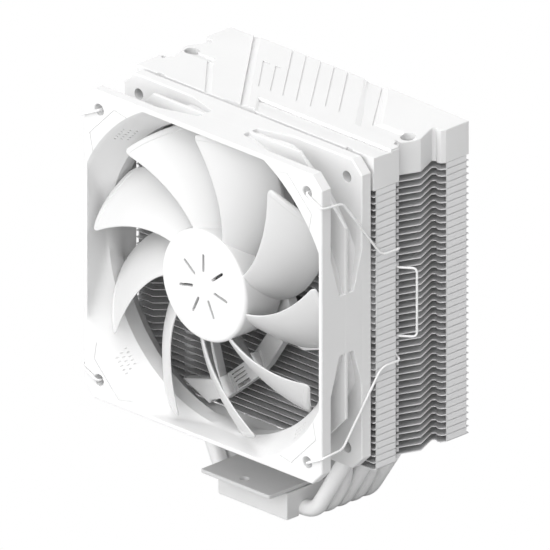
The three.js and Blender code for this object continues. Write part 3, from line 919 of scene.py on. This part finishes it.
def top_cover():
    """Moulded cover: a hollow shell with its relief, grooves, holes and small notches."""
    radii = [0.3, 0.4, 0.6, 0.6, 0.8, 0.6, 0.4, 0.4, 0.6, 0.5, 0.3]
    outline = rounded(tower_outline([], 39.2), radii + radii[::-1], 5)
    cover = cover_relief(plate(outline, COVER_FOOT, COVER_TOP, 0.12))
    cutters = []
    for x in (-54.5, 54.5):
        cutters.append(prism(ring(2.8, 40, (x, 49)), COVER_LOW + 3, COVER_TOP + 3))
    cutters += cover_grooves()
    cutters.append(prism(slot_outline((-6.4, 34.7), (62, 34.7), 0.35), GROOVE_FOOT - 0.3, CUT_TOP))
    cutters += cover_notches()
    cutters.append(prism(rounded(rectangle(-50, 50, 32.5, 71.5), 2), COVER_LOW - 1, COVER_TOP - 2))
    for cutter in cutters:
        cover = combined(cover, [cutter], "DIFFERENCE")
    return cover


# --- base -----------------------------------------------------------------------------------------


def base_block():
    """The contact block, with a channel for each heat pipe in its underside."""
    half_x, half_y = 17.5, 22
    outline = rounded(rectangle(-half_x, half_x, BASE_MIDDLE - half_y, BASE_MIDDLE + half_y), 0.6)
    block = plate(outline, GROUND, BLOCK_TOP, 0.3)
    radius = PIPE + 0.08
    half_circle = [k * math.pi / 16 for k in range(17)]
    arch = [(radius * math.cos(a), PIPE_AXIS + radius * math.sin(a)) for a in half_circle]
    section = [(radius, -1), *arch, (-radius, -1)]
    channels = []
    for i in range(len(PIPE_LEGS)):
        y = BASE_MIDDLE + (i - 2) * PIPE_SPACING
        channels.append(loft([[(x, y + v, GROUND + w) for v, w in section] for x in (-30, 30)]))
    return combined(block, [joined(channels)], "DIFFERENCE")


def mounting_bar():
    half_x, half_y = 17.35, 30.8
    outline = rounded(rectangle(-half_x, half_x, BASE_MIDDLE - half_y, BASE_MIDDLE + half_y), 0.8)
    holes = [ring(1.6, 28, (0, BASE_MIDDLE + y)) for y in BAR_HOLES]
    holes += [ring(2.6, 28, (x, BASE_MIDDLE)) for x in SCREWS]
    return plate(outline, BAR_LOW, BAR_TOP, 0.2, holes)


def bar_screw(x):
    """A flat-head screw with a cross recess."""
    top = BAR_TOP - 0.1
    end = BAR_LOW - 2
    profile = [(0, top), (2.2, top), (2.4, top - 0.15), (1.3, top - 1.25), (1.3, end), (0, end)]
    body = moved(turned(profile, 40), TO_FRONT)
    at_top = Matrix.Translation((0, 0, top))
    cross = [box_mesh(size, at_top) for size in ((2.6, 0.5, 1.4), (0.5, 2.6, 1.4))]
    body = combined(body, cross, "DIFFERENCE")
    return moved(body, Matrix.Translation((x, BASE_MIDDLE, 0)))


# --- camera, light and floor ----------------------------------------------------------------------

VIEW_AZIMUTH = math.radians(45)
VIEW_ELEVATION = math.radians(23.3)
VIEW_WIDTH = 196.2
VIEW_DISTANCE = 800
AIM = Vector((11.4, 25.0, 0.3))


def camera():
    data = bpy.data.cameras.new("camera")
    data.type = "ORTHO"
    data.ortho_scale = VIEW_WIDTH * MM
    data.clip_end = 10
    obj = new_object("camera", data)
    ahead = Vector((
        -math.sin(VIEW_AZIMUTH) * math.cos(VIEW_ELEVATION),
        math.cos(VIEW_AZIMUTH) * math.cos(VIEW_ELEVATION),
        -math.sin(VIEW_ELEVATION),
    ))
    obj.location = PLACE @ AIM - ahead * VIEW_DISTANCE * MM
    obj.rotation_euler = ahead.to_track_quat("-Z", "Y").to_euler()
    bpy.context.scene.camera = obj


def sun(name, towards, strength, softness):
    data = bpy.data.lights.new(name, "SUN")
    data.energy = strength
    data.angle = math.radians(softness)
    new_object(name, data).rotation_euler = Vector(towards).to_track_quat("-Z", "Y").to_euler()


def split_for_camera(tree, lit, seen, target):
    """Camera rays meet the shader seen, and all other rays meet the shader lit."""
    rays = tree.nodes.new("ShaderNodeLightPath")
    mix = tree.nodes.new("ShaderNodeMixShader")
    tree.links.new(rays.outputs["Is Camera Ray"], mix.inputs["Fac"])
    tree.links.new(lit, mix.inputs[1])
    tree.links.new(seen, mix.inputs[2])
    tree.links.new(mix.outputs["Shader"], target)


def surroundings():
    """A white surround that lights the part evenly, with three soft suns."""
    world = bpy.data.worlds.new("studio")
    bpy.context.scene.world = world
    world.use_nodes = True
    nodes = world.node_tree.nodes
    lit = nodes["Background"]
    seen = nodes.new("ShaderNodeBackground")
    for background, strength in ((lit, 0.37), (seen, 1.0)):
        background.inputs["Color"].default_value = (1, 1, 1, 1)
        background.inputs["Strength"].default_value = strength
    output = nodes["World Output"].inputs["Surface"]
    split_for_camera(world.node_tree, lit.outputs["Background"], seen.outputs["Background"], output)
    sun("key", (0, 0.93, -0.36), 4.1, 100)
    sun("overhead", (-0.08, 0.05, -1), 1.22, 40)
    sun("rear", (0, -0.9, -0.3), 0.8, 60)
    bpy.context.scene.view_settings.view_transform = "Standard"


def floor():
    """A plain white floor that the camera sees evenly lit and that bounces a little light."""
    material = bpy.data.materials.new("floor_finish")
    material.use_nodes = True
    nodes = material.node_tree.nodes
    bounce = nodes["Principled BSDF"]
    bounce.inputs["Base Color"].default_value = (0.5, 0.5, 0.5, 1)
    bounce.inputs["Roughness"].default_value = 0.9
    bright = nodes.new("ShaderNodeEmission")
    bright.inputs["Strength"].default_value = 1.0
    output = nodes["Material Output"].inputs["Surface"]
    split_for_camera(material.node_tree, bounce.outputs["BSDF"], bright.outputs["Emission"], output)
    level = -0.2 * MM
    reach = 3000 * MM
    corners = [(x, y, level) for x, y in rectangle(-reach, reach, -reach, reach)]
    mesh = bpy.data.meshes.new("floor")
    mesh.from_pydata(corners, [], [(0, 1, 2, 3)])
    mesh.materials.append(material)
    obj = new_object("floor", mesh)


# --- the whole part -------------------------------------------------------------------------------


def finish_inner_nodes():
    """The CAD solids that stay: the motor inside the hub."""
    finishes = {
        "rotor_yoke": PLATED, "rotor_shaft": PLATED, "stator_core": PLATED, "shaft_retainer": PLATED,
        "magnet_ring": FERRITE, "bearing_sleeve": BRONZE, "motor_board": LAMINATE,
        **{f"stator_coil_{i}": COPPER for i in range(1, 5)},
    }
    for name, material in finishes.items():
        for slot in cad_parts[name].material_slots:
            slot.material = material


def build_fan():
    show("fan_frame_shell", fan_frame(), FAN_PLASTIC, "tower", "fan_plastic", "fan_frame")
    # Blades take the darker painted shade; the hub faces keep the plain fan plastic.
    show("impeller_rotor", impeller(), BLADE_PAINTED_SHADE, "rotor", "fan_plastic", "impeller",
         second=FAN_PLASTIC, picks=lies_on_hub)
    for side, sign in (("left", -1), ("right", 1)):
        show(f"wire_{side}", wire_clip(sign), WIRE_COAT, f"clip_{side}", "clip_wire", f"wire_clip_{side}")
        for height, up in (("lower", -1), ("upper", 1)):
            node = f"corner_pad_{height}_{side}"
            show(f"pad_{height}_{side}", corner_pad(sign, up), PAD_RUBBER, "tower", "pad_rubber", node)


def build_tower():
    pair = fin_pair()
    for i in range(FIN_SOLIDS):
        copy = moved(pair, Matrix.Translation((0, 0, FIN_TOP - 2 * i * FIN_PITCH)))
        node = f"fin_{i + 1:02d}"
        # The fins' flat faces and front edges take the darker painted shade; the tabs keep the plain fin
        # coat.
        show(f"fins_{i + 1:02d}", copy, FIN_COAT, "tower", "fin_coating", node, second=FIN_FLAT_PAINTED_SHADE)
    for i in range(len(PIPE_LEGS)):
        show(f"pipe_{i + 1}", heat_pipe(i), PIPE_COAT, "tower", "pipe_coating", f"heat_pipe_{i + 1}")
    show("cover", top_cover(), COVER_PLASTIC, "tower", "cover_plastic", "top_cover", crease=9)
    show("contact_block", base_block(), BLOCK_COAT, "tower", "block_coating", "base_block")
    # The bar takes a darker grey than the block: painted shade.
    show("bar", mounting_bar(), BAR_PAINTED_SHADE, "tower", "block_coating", "mounting_bar")
    for i, x in enumerate(SCREWS):
        show(f"screw_{i + 1}", bar_screw(x), PLATED, "tower", "screw_steel", f"bar_screw_{i + 1}")


camera()
surroundings()
floor()
finish_inner_nodes()
build_fan()
build_tower()
